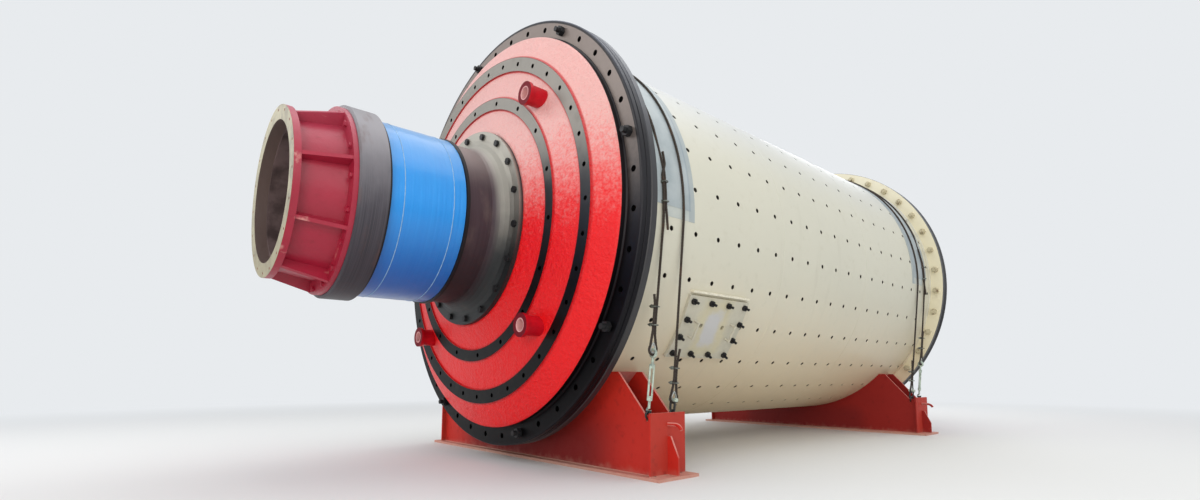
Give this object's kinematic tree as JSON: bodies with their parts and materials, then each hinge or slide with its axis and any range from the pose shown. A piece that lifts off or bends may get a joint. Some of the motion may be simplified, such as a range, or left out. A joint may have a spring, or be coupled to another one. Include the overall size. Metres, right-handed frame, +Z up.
{
  "type": "ball mill drum",
  "caption": "Ball mill drum with drilled shell, stepped cast heads, wrapped trunnion journals and ribbed sleeves, lashed with wire ropes in two saddle cradles.",
  "frame": {"origin": "on the floor under the middle of the drum", "axes": "+X along the drum away from the manhole end, -Y the manhole side, +Z up"},
  "size_m": [8.324, 3.3598, 3.4798],
  "materials": {
    "shell_paint": "satin",
    "head_paint": "gloss",
    "trunnion_steel": "dark preservative coat",
    "bolt_steel": "black",
    "wrap_film": "gloss",
    "sleeve_paint": "satin",
    "liner_steel": "matt",
    "door_primer": "matt",
    "cradle_paint": "matt",
    "pad_cloth": "matt",
    "rope_steel": "weathered",
    "turnbuckle_zinc": "satin"
  },
  "bodies": {
    "root": {"shell_course_left": "shell_paint", "shell_course_middle": "shell_paint", "shell_course_right": "shell_paint", "shell_flange_left": "shell_paint", "shell_flange_right": "shell_paint", "manhole_ledge": "shell_paint", "head_left": "head_paint", "head_right": "head_paint", "head_lugs_left": "head_paint", "head_lugs_right": "head_paint", "trunnion_left": "trunnion_steel", "trunnion_right": "trunnion_steel", "flange_bolts_left": "bolt_steel", "flange_bolts_right": "bolt_steel", "trunnion_bolts_left": "bolt_steel", "trunnion_bolts_right": "bolt_steel", "manhole_clamps": "bolt_steel", "journal_wrap_left": "wrap_film", "journal_wrap_right": "wrap_film", "sleeve_left": "sleeve_paint", "sleeve_right": "sleeve_paint", "sleeve_bolts_left": "sleeve_paint", "sleeve_bolts_right": "sleeve_paint", "trunnion_liner_left": "liner_steel", "trunnion_liner_right": "liner_steel", "manhole_door": "door_primer", "manhole_handles": "door_primer", "cradle_left_side_plates": "cradle_paint", "cradle_left_saddle": "cradle_paint", "cradle_left_end_plates": "cradle_paint", "cradle_left_base": "cradle_paint", "cradle_left_gussets": "cradle_paint", "cradle_right_side_plates": "cradle_paint", "cradle_right_saddle": "cradle_paint", "cradle_right_end_plates": "cradle_paint", "cradle_right_base": "cradle_paint", "cradle_right_gussets": "cradle_paint", "pad_left": "pad_cloth", "pad_right": "pad_cloth", "rope_left_outer": "rope_steel", "rope_left_inner": "rope_steel", "rope_right_outer": "rope_steel", "rope_right_inner": "rope_steel", "turnbuckles_left": "turnbuckle_zinc", "turnbuckles_right": "turnbuckle_zinc"}
  },
  "joints": []
}
